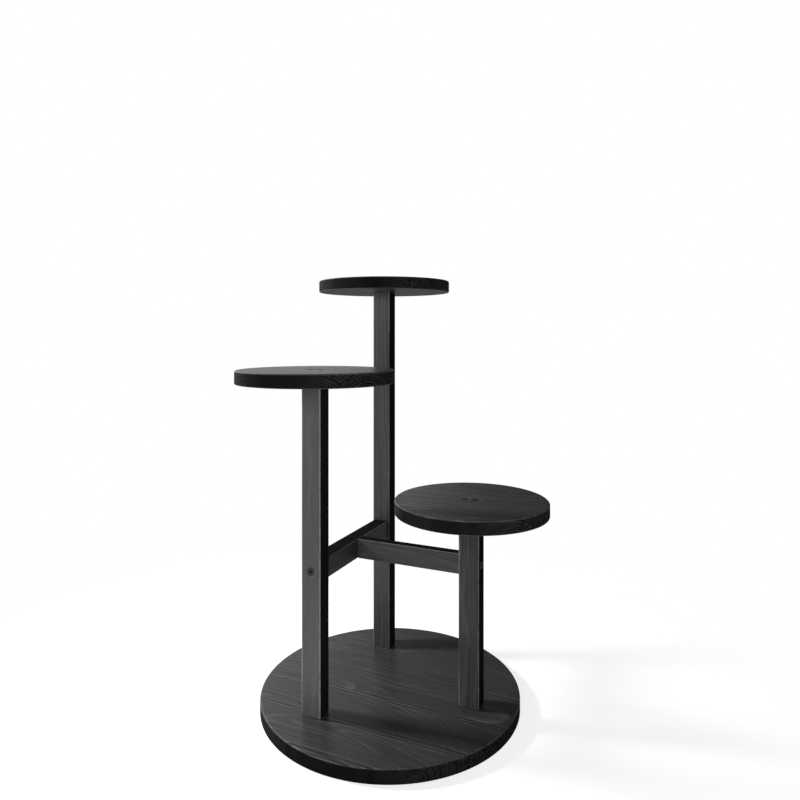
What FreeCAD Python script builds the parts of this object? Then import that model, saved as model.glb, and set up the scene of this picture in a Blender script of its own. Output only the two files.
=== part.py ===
"""Tiered plant stand in black-stained pine. Millimetres, +Z up.

The origin is the middle of the base board's underside, on the floor. +Y runs along the long stretcher,
from the front post to the rear post. +X runs along the short stretcher, out to the side post. The three
posts stand at the corners of an equilateral triangle about the origin, and each carries a tray.
"""

import FreeCAD
import Part
import Sketcher
import os

# Driving dimensions: name, value and meaning. Every size below is bound to one of these.
SIZES = (
    ("BaseDiameter", 350.0, "base board, across"),
    ("BaseThickness", 18.0, "base board, through"),
    ("BaseTopRound", 2.5, "round-over of the base board's upper rim"),
    ("BaseUndersideRound", 1.5, "round-over of the base board's lower rim"),
    ("PostSpacing", 201.0, "middle to middle of any two posts"),
    ("PostWidth", 28.0, "post section along X"),
    ("PostDepth", 22.0, "post section along Y"),
    ("PostEdgeRound", 1.2, "round-over of a post's long edges"),
    ("FrontPostLength", 419.0, "post under the middle tray"),
    ("RearPostLength", 545.0, "post under the top tray"),
    ("SidePostLength", 249.0, "post under the low tray"),
    ("TrayDiameter", 200.0, "trays, across"),
    ("TrayThickness", 17.0, "trays, through"),
    ("TrayTopRound", 2.0, "round-over of a tray's upper rim"),
    ("TrayUndersideRound", 1.5, "round-over of a tray's lower rim"),
    ("StretcherRise", 169.0, "base board's top to the stretchers' undersides"),
    ("StretcherHeight", 27.0, "both stretchers, up and down"),
    ("LongStretcherWidth", 22.0, "long stretcher along X"),
    ("ShortStretcherWidth", 14.0, "short stretcher along Y"),
    ("StretcherEdgeRound", 1.0, "round-over of the stretchers' long edges"),
    ("ScrewLength", 50.0, "flat of the head to the tip"),
    ("ScrewDiameter", 6.3, "over the neck and the thread"),
    ("ScrewRootDiameter", 4.4, "between the thread's ridges"),
    ("ScrewNeckLength", 10.0, "plain neck under the head's cone"),
    ("ScrewTipLength", 4.0, "cone at the tip"),
    ("ThreadPitch", 3.0, "ridge to ridge"),
    ("ThreadCrest", 0.5, "flat on top of a ridge"),
    ("HeadDiameter", 10.0, "countersunk head"),
    ("HeadLand", 0.4, "straight rim of the head, above its cone"),
    ("HeadRecess", 0.6, "wood's face down to the flat of the head"),
    ("HexAcrossFlats", 4.0, "key socket in the head"),
    ("HexDepth", 3.0, "key socket in the head"),
    ("ScrewPairSpacing", 14.0, "between the two screws in the end of a post"),
    ("ScrewClearance", 0.1, "between a screw and its hole, all round"),
    ("PilotSpare", 2.0, "pilot hole beyond the screw's tip"),
)

# Formulas on the driving dimensions, used by more than one piece.
POST_LINE_X = "(-Sizes.PostSpacing / sqrt(12))"
SIDE_POST_X = "(Sizes.PostSpacing / sqrt(3))"
FRONT_POST_Y = "(-Sizes.PostSpacing / 2)"
REAR_POST_Y = "(Sizes.PostSpacing / 2)"
STRETCHER_MIDDLE = "(Sizes.StretcherRise + Sizes.StretcherHeight / 2)"
STRETCHER_Z = f"(Sizes.BaseThickness + {STRETCHER_MIDDLE})"
LONG_STRETCHER_LENGTH = "(Sizes.PostSpacing - Sizes.PostDepth)"
SHORT_STRETCHER_START = f"({POST_LINE_X} + Sizes.LongStretcherWidth / 2)"
SHORT_STRETCHER_END = f"({SIDE_POST_X} - Sizes.PostWidth / 2)"
SHORT_STRETCHER_LENGTH = f"({SHORT_STRETCHER_END} - {SHORT_STRETCHER_START})"
HOLE_DIAMETER = "(Sizes.ScrewDiameter + 2 * Sizes.ScrewClearance)"
SEAT_DIAMETER = "(Sizes.HeadDiameter + 2 * (Sizes.HeadRecess + Sizes.HeadLand + Sizes.ScrewClearance))"
NECK_TOP = "(Sizes.HeadRecess + Sizes.HeadLand + (Sizes.HeadDiameter - Sizes.ScrewDiameter) / 2)"
THREAD_TOP = f"({NECK_TOP} + Sizes.ScrewNeckLength)"
SCREW_END = "(Sizes.HeadRecess + Sizes.ScrewLength)"
THREAD_TURNS = f"floor(({SCREW_END} - Sizes.ScrewTipLength - {THREAD_TOP}) / Sizes.ThreadPitch)"

COUNTERSINK_ANGLE = 90.0
DRILL_POINT_ANGLE = 118.0
FULL_TURN = 360.0

X_AXIS = FreeCAD.Vector(1, 0, 0)
Y_AXIS = FreeCAD.Vector(0, 1, 0)
# A screw is drawn pointing down, and these turn it to point another way.
POINT_DOWN = FreeCAD.Rotation()
POINT_UP = FreeCAD.Rotation(X_AXIS, 180)
POINT_TO_REAR = FreeCAD.Rotation(X_AXIS, 90)
POINT_TO_FRONT = FreeCAD.Rotation(X_AXIS, -90)
POINT_INWARD = FreeCAD.Rotation(Y_AXIS, 90)
POINT_OUTWARD = FreeCAD.Rotation(Y_AXIS, -90)

CUTTING_TYPES = ("PartDesign::Hole", "PartDesign::Pocket", "PartDesign::Groove", "PartDesign::LinearPattern")


# ---------------------------------------------------------------- document, sketches and holes

def add_sizes(doc):
    """The spreadsheet of driving dimensions: name, value and meaning in each row."""
    sheet = doc.addObject("Spreadsheet::Sheet", "Sizes")
    for row, (alias, value, meaning) in enumerate(SIZES, start=1):
        sheet.set(f"A{row}", alias)
        sheet.set(f"B{row}", str(value))
        sheet.set(f"C{row}", meaning)
        sheet.setAlias(f"B{row}", alias)
    doc.recompute()


def bind(thing, expressions):
    """Ties each named property of an object to a formula on the driving dimensions."""
    for path, expression in expressions.items():
        thing.setExpression(path, expression)


def new_body(doc, name, x="0", y="0", z="0"):
    body = doc.addObject("PartDesign::Body", name)
    body.Label = name
    bind(body, {"Placement.Base.x": x, "Placement.Base.y": y, "Placement.Base.z": z})
    return body


def origin_feature(body, role):
    return next(feature for feature in body.Origin.OriginFeatures if feature.Role == role)


def new_sketch(body, name, plane="XY_Plane", across="0", up="0", out="0"):
    """A sketch parallel to one of the body's own planes, moved across, up and out of that plane."""
    sketch = body.newObject("Sketcher::SketchObject", name)
    sketch.AttachmentSupport = [(origin_feature(body, plane), "")]
    sketch.MapMode = "FlatFace"
    offset = "AttachmentOffset.Base."
    bind(sketch, {offset + "x": across, offset + "y": up, offset + "z": out})
    return sketch


def pin_point(sketch, geometry, vertex, across, up, name):
    """Holds one point of a sketch at a place given by two formulas."""
    for kind, expression in (("DistanceX", across), ("DistanceY", up)):
        index = sketch.addConstraint(Sketcher.Constraint(kind, -1, 1, geometry, vertex, 1.0))
        label = f"{name}{kind[-1]}"
        sketch.renameConstraint(index, label)
        sketch.setExpression(f"Constraints.{label}", expression)


def draw_circle(sketch, diameter, across="0", up="0", name="circle"):
    circle = sketch.addGeometry(Part.Circle(FreeCAD.Vector(1, 1, 0), FreeCAD.Vector(0, 0, 1), 1))
    pin_point(sketch, circle, 3, across, up, name)
    index = sketch.addConstraint(Sketcher.Constraint("Diameter", circle, 2.0))
    sketch.renameConstraint(index, f"{name}Diameter")
    sketch.setExpression(f"Constraints.{name}Diameter", diameter)


def draw_outline(sketch, corners):
    """A closed outline of straight lines, each corner held by a pair of formulas."""
    places = [FreeCAD.Vector(1 + n, 1 + n * n, 0) for n in range(len(corners))]
    lines = [sketch.addGeometry(Part.LineSegment(a, b)) for a, b in zip(places, places[1:] + places[:1])]
    for line, following in zip(lines, lines[1:] + lines[:1]):
        sketch.addConstraint(Sketcher.Constraint("Coincident", line, 2, following, 1))
    for n, (across, up) in enumerate(corners):
        pin_point(sketch, lines[n], 1, across, up, f"corner{n}")


def draw_rectangle(sketch, width, height):
    """A rectangle about the sketch's own origin."""
    draw_outline(sketch, [(f"{i} * {width} / 2", f"{j} * {height} / 2")
                          for i, j in ((-1, -1), (1, -1), (1, 1), (-1, 1))])


def pad(body, sketch, length, midplane=False):
    feature = body.newObject("PartDesign::Pad", "Blank")
    feature.Profile = sketch
    feature.SideType = "Symmetric" if midplane else "One side"
    feature.setExpression("Length", length)
    body.Document.recompute()
    return feature


def round_edges(body, base, radius, name, wanted):
    """Rounds those edges of a feature that pass the test."""
    names = [f"Edge{n}" for n, edge in enumerate(base.Shape.Edges, start=1) if wanted(edge)]
    fillet = body.newObject("PartDesign::Fillet", name)
    fillet.Base = (base, names)
    fillet.setExpression("Radius", radius)
    body.Document.recompute()
    return fillet


def along(axis):
    """An edge test: straight, and parallel to one axis, 0 for X, 1 for Y or 2 for Z."""
    def wanted(edge):
        ends = [vertex.Point for vertex in edge.Vertexes]
        return len(ends) == 2 and all(abs(ends[1][n] - ends[0][n]) < 1e-6 for n in range(3) if n != axis)
    return wanted


def at_height(height):
    """An edge test: the whole edge lies at one height."""
    return lambda edge: all(abs(z - height) < 1e-6 for z in (edge.BoundBox.ZMin, edge.BoundBox.ZMax))


def drill(body, sketch, away=False, depth=None):
    """Holes at a sketch's circles: right through and countersunk, or blind where a depth is given.

    They go against the sketch's normal, or along it where away is true.
    """
    body.Document.recompute()
    hole = body.newObject("PartDesign::Hole", "Hole")
    hole.Profile = sketch
    hole.Reversed = away
    hole.setExpression("Diameter", HOLE_DIAMETER)
    if depth is None:
        hole.DepthType = "ThroughAll"
        hole.HoleCutType = "Countersink"
        hole.HoleCutCustomValues = True
        hole.HoleCutCountersinkAngle = COUNTERSINK_ANGLE
        hole.setExpression("HoleCutDiameter", SEAT_DIAMETER)
    else:
        hole.DepthType = "Dimension"
        hole.DrillPoint = "Angled"
        hole.DrillPointAngle = DRILL_POINT_ANGLE
        hole.setExpression("Depth", depth)
    body.Document.recompute()
    return hole


def screw_spot(body, name, plane="XY_Plane", across="0", up="0", out="0"):
    """A sketch with the one circle of a single screw."""
    sketch = new_sketch(body, name, plane, across, up, out)
    draw_circle(sketch, HOLE_DIAMETER)
    return sketch


def screw_pair(body, name, across="0", up="0", out="0"):
    """A level sketch with the circles of the two screws in a post's end, side by side along X."""
    sketch = new_sketch(body, name, "XY_Plane", across, up, out)
    for n, side in enumerate((-1, 1)):
        draw_circle(sketch, HOLE_DIAMETER, f"{side} * Sizes.ScrewPairSpacing / 2", "0", f"screw{n}")
    return sketch


def pilot_depth(first_piece):
    """How deep a screw's pilot hole goes, past the piece that the screw passes through first."""
    return f"{SCREW_END} + Sizes.PilotSpare - {first_piece}"


# ---------------------------------------------------------------- wooden pieces

def disc(doc, name, size, x="0", y="0", z="0"):
    """A round board with both rims rounded. size is Base or Tray, as the driving dimensions begin."""
    body = new_body(doc, name, x, y, z)
    outline = new_sketch(body, "Outline")
    draw_circle(outline, f"Sizes.{size}Diameter")
    blank = pad(body, outline, f"Sizes.{size}Thickness")
    top = blank.Shape.BoundBox.ZMax
    upper = round_edges(body, blank, f"Sizes.{size}TopRound", "UpperRim", at_height(top))
    round_edges(body, upper, f"Sizes.{size}UndersideRound", "LowerRim", at_height(0))
    return body


def base_board(doc):
    """The base, with two countersunk holes from below under each post."""
    body = disc(doc, "base_board", "Base")
    for name, x, y, _ in POSTS:
        drill(body, screw_pair(body, f"{name}_post_screws", x, y), away=True)
    return body


def post(doc, name, x, y, length):
    """A post, with pilot holes in both ends. Its own origin is the middle of its foot."""
    body = new_body(doc, f"{name}_post", x, y, "Sizes.BaseThickness")
    section = new_sketch(body, "Section")
    draw_rectangle(section, "Sizes.PostWidth", "Sizes.PostDepth")
    blank = pad(body, section, length)
    round_edges(body, blank, "Sizes.PostEdgeRound", "LongEdges", along(2))
    drill(body, screw_pair(body, "Foot"), away=True, depth=pilot_depth("Sizes.BaseThickness"))
    drill(body, screw_pair(body, "Top", out=length), depth=pilot_depth("Sizes.TrayThickness"))
    return body


def tray(doc, name, x, y, post_length):
    """A tray on the end of its post, with two countersunk holes from above."""
    body = disc(doc, name, "Tray", x, y, f"Sizes.BaseThickness + {post_length}")
    drill(body, screw_pair(body, "PostScrews", out="Sizes.TrayThickness"))
    return body


def drill_posts_for_stretchers(posts):
    """Countersunk holes through the posts, each from the face that looks away from its stretcher."""
    half_depth = "Sizes.PostDepth / 2"
    half_width = "Sizes.PostWidth / 2"
    front = screw_spot(posts["front"], "Stretcher", "XZ_Plane", up=STRETCHER_MIDDLE, out=half_depth)
    drill(posts["front"], front)
    rear = screw_spot(posts["rear"], "Stretcher", "XZ_Plane", up=STRETCHER_MIDDLE, out=f"-{half_depth}")
    drill(posts["rear"], rear, away=True)
    side = screw_spot(posts["side"], "Stretcher", "YZ_Plane", up=STRETCHER_MIDDLE, out=half_width)
    drill(posts["side"], side)


def long_stretcher(doc):
    """The bar from the front post to the rear post, bored across for the short stretcher's screw."""
    body = new_body(doc, "long_stretcher", POST_LINE_X, "0", STRETCHER_Z)
    section = new_sketch(body, "Section", "XZ_Plane")
    draw_rectangle(section, "Sizes.LongStretcherWidth", "Sizes.StretcherHeight")
    blank = pad(body, section, LONG_STRETCHER_LENGTH, midplane=True)
    round_edges(body, blank, "Sizes.StretcherEdgeRound", "LongEdges", along(1))
    depth = pilot_depth("Sizes.PostDepth")
    end = f"{LONG_STRETCHER_LENGTH} / 2"
    drill(body, screw_spot(body, "FrontEnd", "XZ_Plane", out=end), depth=depth)
    drill(body, screw_spot(body, "RearEnd", "XZ_Plane", out=f"-{end}"), away=True, depth=depth)
    tee = screw_spot(body, "Tee", "YZ_Plane", out="-Sizes.LongStretcherWidth / 2")
    drill(body, tee, away=True)
    return body


def short_stretcher(doc):
    """The bar from the middle of the long stretcher to the side post."""
    middle = f"({SHORT_STRETCHER_START} + {SHORT_STRETCHER_END}) / 2"
    body = new_body(doc, "short_stretcher", middle, "0", STRETCHER_Z)
    section = new_sketch(body, "Section", "YZ_Plane")
    draw_rectangle(section, "Sizes.ShortStretcherWidth", "Sizes.StretcherHeight")
    blank = pad(body, section, SHORT_STRETCHER_LENGTH, midplane=True)
    round_edges(body, blank, "Sizes.StretcherEdgeRound", "LongEdges", along(0))
    end = f"{SHORT_STRETCHER_LENGTH} / 2"
    post_end = screw_spot(body, "PostEnd", "YZ_Plane", out=end)
    drill(body, post_end, depth=pilot_depth("Sizes.PostWidth"))
    tee_end = screw_spot(body, "TeeEnd", "YZ_Plane", out=f"-{end}")
    drill(body, tee_end, away=True, depth=pilot_depth("Sizes.LongStretcherWidth"))
    return body


# ---------------------------------------------------------------- screws

def screw_pattern(doc):
    """The one screw that all the others repeat: it points down from the wood's face at its origin."""
    body = new_body(doc, "screw_pattern")
    half_head = "Sizes.HeadDiameter / 2"
    half_screw = "Sizes.ScrewDiameter / 2"
    profile = new_sketch(body, "Profile", "XZ_Plane")
    draw_outline(profile, [
        ("0", "-Sizes.HeadRecess"),
        (half_head, "-Sizes.HeadRecess"),
        (half_head, "-(Sizes.HeadRecess + Sizes.HeadLand)"),
        (half_screw, f"-{NECK_TOP}"),
        (half_screw, f"-({SCREW_END} - Sizes.ScrewTipLength)"),
        ("0", f"-{SCREW_END}"),
    ])
    turned = body.newObject("PartDesign::Revolution", "Turned")
    turned.Profile = profile
    turned.ReferenceAxis = (profile, ["V_Axis"])
    turned.Angle = FULL_TURN
    doc.recompute()
    cut_key_socket(body)
    cut_thread(body)
    return body


def cut_key_socket(body):
    """The hexagonal socket in the head."""
    sketch = new_sketch(body, "KeySocket", out="-Sizes.HeadRecess")
    flat = "Sizes.HexAcrossFlats / 2"
    corner = "Sizes.HexAcrossFlats / sqrt(3)"
    draw_outline(sketch, [
        (corner, "0"),
        (f"{corner} / 2", flat),
        (f"-{corner} / 2", flat),
        (f"-{corner}", "0"),
        (f"-{corner} / 2", f"-{flat}"),
        (f"{corner} / 2", f"-{flat}"),
    ])
    pocket = body.newObject("PartDesign::Pocket", "Socket")
    pocket.Profile = sketch
    pocket.setExpression("Length", "Sizes.HexDepth")
    body.Document.recompute()


def cut_thread(body):
    """The coarse thread, as level ridges one pitch apart: one groove, repeated down to the tip."""
    outer = "Sizes.ScrewDiameter / 2"
    root = "Sizes.ScrewRootDiameter / 2"
    flank = f"({outer} - {root}) / 2"
    foot = f"({THREAD_TOP} + Sizes.ThreadPitch - Sizes.ThreadCrest)"
    sketch = new_sketch(body, "ThreadGap", "XZ_Plane")
    draw_outline(sketch, [
        (outer, f"-{THREAD_TOP}"),
        (root, f"-({THREAD_TOP} + {flank})"),
        (root, f"-({foot} - {flank})"),
        (outer, f"-{foot}"),
    ])
    groove = body.newObject("PartDesign::Groove", "FirstGap")
    groove.Profile = sketch
    groove.ReferenceAxis = (sketch, ["V_Axis"])
    groove.Angle = FULL_TURN
    body.Document.recompute()
    gaps = body.newObject("PartDesign::LinearPattern", "Thread")
    gaps.Originals = [groove]
    gaps.Direction = (origin_feature(body, "Z_Axis"), [""])
    gaps.Reversed = True
    gaps.setExpression("Occurrences", THREAD_TURNS)
    gaps.setExpression("Length", f"({THREAD_TURNS} - 1) * Sizes.ThreadPitch")
    body.Tip = gaps
    body.Document.recompute()


def place_screws(doc, name, pattern, turn, places):
    """A named group of screws: copies of the pattern, each turned the same way and set at its place."""
    copies = []
    for n, (x, y, z) in enumerate(places, start=1):
        copy = doc.addObject("App::Link", f"{name}_{n}")
        copy.LinkedObject = pattern
        copy.LinkTransform = False
        copy.Placement = FreeCAD.Placement(FreeCAD.Vector(), turn)
        bind(copy, {"Placement.Base.x": x, "Placement.Base.y": y, "Placement.Base.z": z})
        copies.append(copy)
    group = doc.addObject("Part::Compound", name)
    group.Label = name
    group.Links = copies
    return group


def pair_places(x, y, z):
    """The places of the two screws in the end of a post that stands at x, y."""
    return [(f"{x} {sign} Sizes.ScrewPairSpacing / 2", y, z) for sign in ("-", "+")]


def all_screws(doc):
    """Every screw in the stand, grouped by the joint that it holds."""
    pattern = screw_pattern(doc)
    groups = []
    for name, x, y, length in POSTS:
        groups.append(place_screws(doc, f"{name}_post_foot_screws", pattern, POINT_UP,
                                   pair_places(x, y, "0")))
        tray_top = f"Sizes.BaseThickness + {length} + Sizes.TrayThickness"
        groups.append(place_screws(doc, f"{TRAYS[name]}_screws", pattern, POINT_DOWN,
                                   pair_places(x, y, tray_top)))
    front_face = f"{FRONT_POST_Y} - Sizes.PostDepth / 2"
    rear_face = f"{REAR_POST_Y} + Sizes.PostDepth / 2"
    side_face = f"{SIDE_POST_X} + Sizes.PostWidth / 2"
    tee_face = f"{POST_LINE_X} - Sizes.LongStretcherWidth / 2"
    for name, turn, x, y in (
        ("front_stretcher_screw", POINT_TO_REAR, POST_LINE_X, front_face),
        ("rear_stretcher_screw", POINT_TO_FRONT, POST_LINE_X, rear_face),
        ("side_stretcher_screw", POINT_INWARD, side_face, "0"),
        ("tee_stretcher_screw", POINT_OUTWARD, tee_face, "0"),
    ):
        groups.append(place_screws(doc, name, pattern, turn, [(x, y, STRETCHER_Z)]))
    return groups


# ---------------------------------------------------------------- the stand

# Each post's name, place and length, and the tray that it carries.
POSTS = (
    ("front", POST_LINE_X, FRONT_POST_Y, "Sizes.FrontPostLength"),
    ("rear", POST_LINE_X, REAR_POST_Y, "Sizes.RearPostLength"),
    ("side", SIDE_POST_X, "0", "Sizes.SidePostLength"),
)
TRAYS = {"front": "middle_tray", "rear": "top_tray", "side": "low_tray"}


def build(doc):
    """Makes every piece and returns them in the order in which the stand is put together."""
    add_sizes(doc)
    posts = {name: post(doc, name, x, y, length) for name, x, y, length in POSTS}
    drill_posts_for_stretchers(posts)
    pieces = [base_board(doc), *posts.values(), long_stretcher(doc), short_stretcher(doc)]
    pieces += [tray(doc, TRAYS[name], x, y, length) for name, x, y, length in POSTS]
    pieces += all_screws(doc)
    doc.recompute()
    return pieces


def check(doc, pieces):
    """Stops on a failed feature, a cut that cuts nothing, or a piece that isn't sound solids."""
    for thing in doc.Objects:
        if "Invalid" in thing.State or "Error" in thing.State:
            raise RuntimeError(f"{thing.Label} failed: {thing.State}")
        if thing.TypeId in CUTTING_TYPES:
            before = thing.BaseFeature.Shape.Volume
            if thing.Shape.Volume > before - 1.0:
                raise RuntimeError(f"{thing.Label} cuts nothing")
    for piece in pieces:
        shape = piece.Shape
        if shape.isNull() or not shape.isValid() or not shape.Solids:
            raise RuntimeError(f"{piece.Label} has no sound solid")


def main():
    doc = FreeCAD.newDocument("TieredPlantStand")
    pieces = build(doc)
    check(doc, pieces)
    os.makedirs("parts", exist_ok=True)
    for piece in pieces:
        shape = piece.Shape
        shape.exportStep(f"parts/{piece.Label}.step")
        box = shape.BoundBox
        print(f"{piece.Label}: {len(shape.Solids)} solid(s), {shape.Volume / 1000:.1f} cm3, "
              f"X {box.XMin:.1f} to {box.XMax:.1f}, Y {box.YMin:.1f} to {box.YMax:.1f}, "
              f"Z {box.ZMin:.1f} to {box.ZMax:.1f}")


main()
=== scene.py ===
import math
from typing import NamedTuple

import bpy
from bpy.props import FloatProperty, FloatVectorProperty, IntProperty, PointerProperty
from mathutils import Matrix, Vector


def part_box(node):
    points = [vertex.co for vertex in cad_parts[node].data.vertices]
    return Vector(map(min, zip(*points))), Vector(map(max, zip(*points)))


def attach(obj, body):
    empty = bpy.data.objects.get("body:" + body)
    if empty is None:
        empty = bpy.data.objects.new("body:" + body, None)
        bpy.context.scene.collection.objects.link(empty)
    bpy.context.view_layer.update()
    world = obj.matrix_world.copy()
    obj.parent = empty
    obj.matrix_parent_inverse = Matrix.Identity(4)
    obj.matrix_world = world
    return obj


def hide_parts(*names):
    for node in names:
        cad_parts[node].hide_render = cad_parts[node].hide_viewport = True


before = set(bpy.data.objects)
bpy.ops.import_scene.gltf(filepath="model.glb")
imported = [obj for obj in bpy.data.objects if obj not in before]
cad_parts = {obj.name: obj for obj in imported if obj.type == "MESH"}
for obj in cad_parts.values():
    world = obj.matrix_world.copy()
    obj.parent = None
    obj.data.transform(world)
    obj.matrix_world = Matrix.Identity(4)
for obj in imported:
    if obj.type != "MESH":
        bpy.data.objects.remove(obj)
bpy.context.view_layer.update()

bl_info = {
    "name": "Tiered plant stand",
    "version": (1, 0, 0),
    "blender": (4, 5, 0),
    "location": "3D View > Sidebar > Plant Stand",
    "description": "Makes a tiered plant stand of black-stained pine, with its screws and a plain studio",
    "category": "Object",
}

MM = 0.001

# Which way each group of screws is driven.
SCREW_WAYS = {
    "front_post_foot_screws": (0, 0, 1),
    "rear_post_foot_screws": (0, 0, 1),
    "side_post_foot_screws": (0, 0, 1),
    "middle_tray_screws": (0, 0, -1),
    "top_tray_screws": (0, 0, -1),
    "low_tray_screws": (0, 0, -1),
    "front_stretcher_screw": (0, 1, 0),
    "rear_stretcher_screw": (0, -1, 0),
    "side_stretcher_screw": (-1, 0, 0),
    "tee_stretcher_screw": (1, 0, 0),
}

# The groups of screws whose holes are in each wooden piece.
HOLES = {
    "base_board": ("front_post_foot_screws", "rear_post_foot_screws", "side_post_foot_screws"),
    "middle_tray": ("middle_tray_screws",),
    "top_tray": ("top_tray_screws",),
    "low_tray": ("low_tray_screws",),
    "front_post": ("front_post_foot_screws", "middle_tray_screws", "front_stretcher_screw"),
    "rear_post": ("rear_post_foot_screws", "top_tray_screws", "rear_stretcher_screw"),
    "side_post": ("side_post_foot_screws", "low_tray_screws", "side_stretcher_screw"),
    "long_stretcher": ("front_stretcher_screw", "rear_stretcher_screw", "tee_stretcher_screw"),
    "short_stretcher": ("side_stretcher_screw", "tee_stretcher_screw"),
}


# ---------------------------------------------------------------- sizes and colours


class StandBoards(bpy.types.PropertyGroup):
    """Sizes of the round boards and the squared bars."""

    top_round: FloatProperty(
        name="Top Round", description="Rounding of a board's upper edge",
        default=2.2 * MM, min=0.2 * MM, max=6 * MM, unit="LENGTH")
    underside_round: FloatProperty(
        name="Underside Round", description="Rounding of a board's lower edge",
        default=1.5 * MM, min=0.2 * MM, max=6 * MM, unit="LENGTH")
    post_round: FloatProperty(
        name="Post Round", description="Rounding of a post's edges",
        default=2.2 * MM, min=0.2 * MM, max=5 * MM, unit="LENGTH")
    stretcher_round: FloatProperty(
        name="Stretcher Round", description="Rounding of a stretcher's edges",
        default=1.3 * MM, min=0.2 * MM, max=5 * MM, unit="LENGTH")
    rim_steps: IntProperty(
        name="Rim Steps", description="Faces round the rim of a board",
        default=720, min=48, max=2000)
    sanding: FloatProperty(
        name="Sanding", description="How far the rim wanders from a true circle",
        default=0.15 * MM, min=0.0, max=2 * MM, unit="LENGTH")


class StandScrews(bpy.types.PropertyGroup):
    """Sizes of the screws and of their holes."""

    length: FloatProperty(
        name="Length", description="From the top of the head to the point",
        default=50 * MM, min=20 * MM, max=80 * MM, unit="LENGTH")
    thread: FloatProperty(
        name="Thread", description="Diameter over the thread",
        default=6.3 * MM, min=3 * MM, max=9 * MM, unit="LENGTH")
    core: FloatProperty(
        name="Core", description="Diameter under the thread",
        default=4.4 * MM, min=2 * MM, max=7 * MM, unit="LENGTH")
    neck: FloatProperty(
        name="Neck", description="Where the thread begins, below the top of the head",
        default=10 * MM, min=5 * MM, max=30 * MM, unit="LENGTH")
    tip: FloatProperty(
        name="Tip", description="Length of the point",
        default=4 * MM, min=1 * MM, max=9 * MM, unit="LENGTH")
    pitch: FloatProperty(
        name="Pitch", description="How far the thread climbs in one turn",
        default=3 * MM, min=1 * MM, max=5 * MM, unit="LENGTH")
    head: FloatProperty(
        name="Head", description="Diameter of the countersunk head",
        default=10 * MM, min=6 * MM, max=14 * MM, unit="LENGTH")
    land: FloatProperty(
        name="Land", description="Upright edge of the head",
        default=0.4 * MM, min=0.1 * MM, max=1 * MM, unit="LENGTH")
    key: FloatProperty(
        name="Key", description="Across the flats of the hexagon socket",
        default=4 * MM, min=2 * MM, max=6 * MM, unit="LENGTH")
    key_depth: FloatProperty(
        name="Key Depth", description="Depth of the hexagon socket",
        default=3 * MM, min=1 * MM, max=5 * MM, unit="LENGTH")
    recess: FloatProperty(
        name="Recess", description="How far the head lies below the wood",
        default=0.6 * MM, min=0.0, max=3 * MM, unit="LENGTH")
    sink: FloatProperty(
        name="Countersink", description="Diameter of the countersink at the wood's face",
        default=12.2 * MM, min=8 * MM, max=18 * MM, unit="LENGTH")
    hole: FloatProperty(
        name="Hole", description="Diameter of the hole under the head",
        default=6.5 * MM, min=3 * MM, max=10 * MM, unit="LENGTH")
    spare: FloatProperty(
        name="Spare Depth", description="How much deeper the hole is than the screw",
        default=2 * MM, min=0.0, max=6 * MM, unit="LENGTH")


class StandFinish(bpy.types.PropertyGroup):
    """Colours and grain of the wood, and the colour of the screws."""

    stain: FloatVectorProperty(
        name="Stain", description="Colour of the stained pine",
        subtype="COLOR", size=3, min=0.0, max=1.0, default=(0.050, 0.050, 0.0515))
    ring: FloatProperty(
        name="Year Ring", description="Width of one year's growth, in millimetres",
        default=3.8, min=0.8, max=10.0)
    stave: FloatProperty(
        name="Stave", description="Width of the staves that the boards are glued up from",
        default=66 * MM, min=20 * MM, max=200 * MM, unit="LENGTH")
    gloss: FloatProperty(
        name="Roughness", description="Roughness of the satin finish",
        default=0.27, min=0.05, max=1.0)
    steel: FloatVectorProperty(
        name="Screw Finish", description="Colour of the blackened screws",
        subtype="COLOR", size=3, min=0.0, max=1.0, default=(0.07, 0.07, 0.074))


class StandStudio(bpy.types.PropertyGroup):
    """Floor, lamps, room and camera."""

    key_power: FloatProperty(
        name="Key Lamp", description="Power of the lamp on the left, in watts",
        default=8.2, min=0.0, max=500.0)
    front_power: FloatProperty(
        name="Front Lamp", description="Power of the large low lamp in front, in watts",
        default=33.0, min=0.0, max=500.0)
    rear_power: FloatProperty(
        name="Rear Lamp", description="Power of the large low lamp behind on the right, in watts",
        default=18.0, min=0.0, max=500.0)
    top_power: FloatProperty(
        name="Top Lamp", description="Power of the lamp overhead, in watts",
        default=0.4, min=0.0, max=500.0)
    room: FloatProperty(
        name="Room", description="Light that the room gives to the stand",
        default=0.09, min=0.0, max=2.0)
    floor: FloatVectorProperty(
        name="Floor", description="Colour of the floor",
        subtype="COLOR", size=3, min=0.0, max=1.0, default=(0.5, 0.5, 0.5))
    lens: FloatProperty(
        name="Lens", description="Focal length in millimetres on a 36 mm frame",
        default=29.395, min=10.0, max=200.0)


# ---------------------------------------------------------------- node workbench


class Wire:
    """A node's output, with sums written as in Python."""

    def __init__(self, bench, socket):
        self.bench = bench
        self.socket = socket

    @property
    def is_vector(self):
        """Whether the output carries three numbers."""
        return self.socket.type in {"VECTOR", "RGBA", "ROTATION"}

    def __add__(self, other):
        return self.bench.sum("ADD", self, other)

    def __radd__(self, other):
        return self.bench.sum("ADD", other, self)

    def __sub__(self, other):
        return self.bench.sum("SUBTRACT", self, other)

    def __rsub__(self, other):
        return self.bench.sum("SUBTRACT", other, self)

    def __mul__(self, other):
        return self.bench.sum("MULTIPLY", self, other)

    def __rmul__(self, other):
        return self.bench.sum("MULTIPLY", other, self)

    def __truediv__(self, other):
        return self.bench.sum("DIVIDE", self, other)

    def __rtruediv__(self, other):
        return self.bench.sum("DIVIDE", other, self)

    def __neg__(self):
        return self.bench.sum("MULTIPLY", self, -1.0)

    def __abs__(self):
        return self.bench.sum("ABSOLUTE", self)


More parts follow.
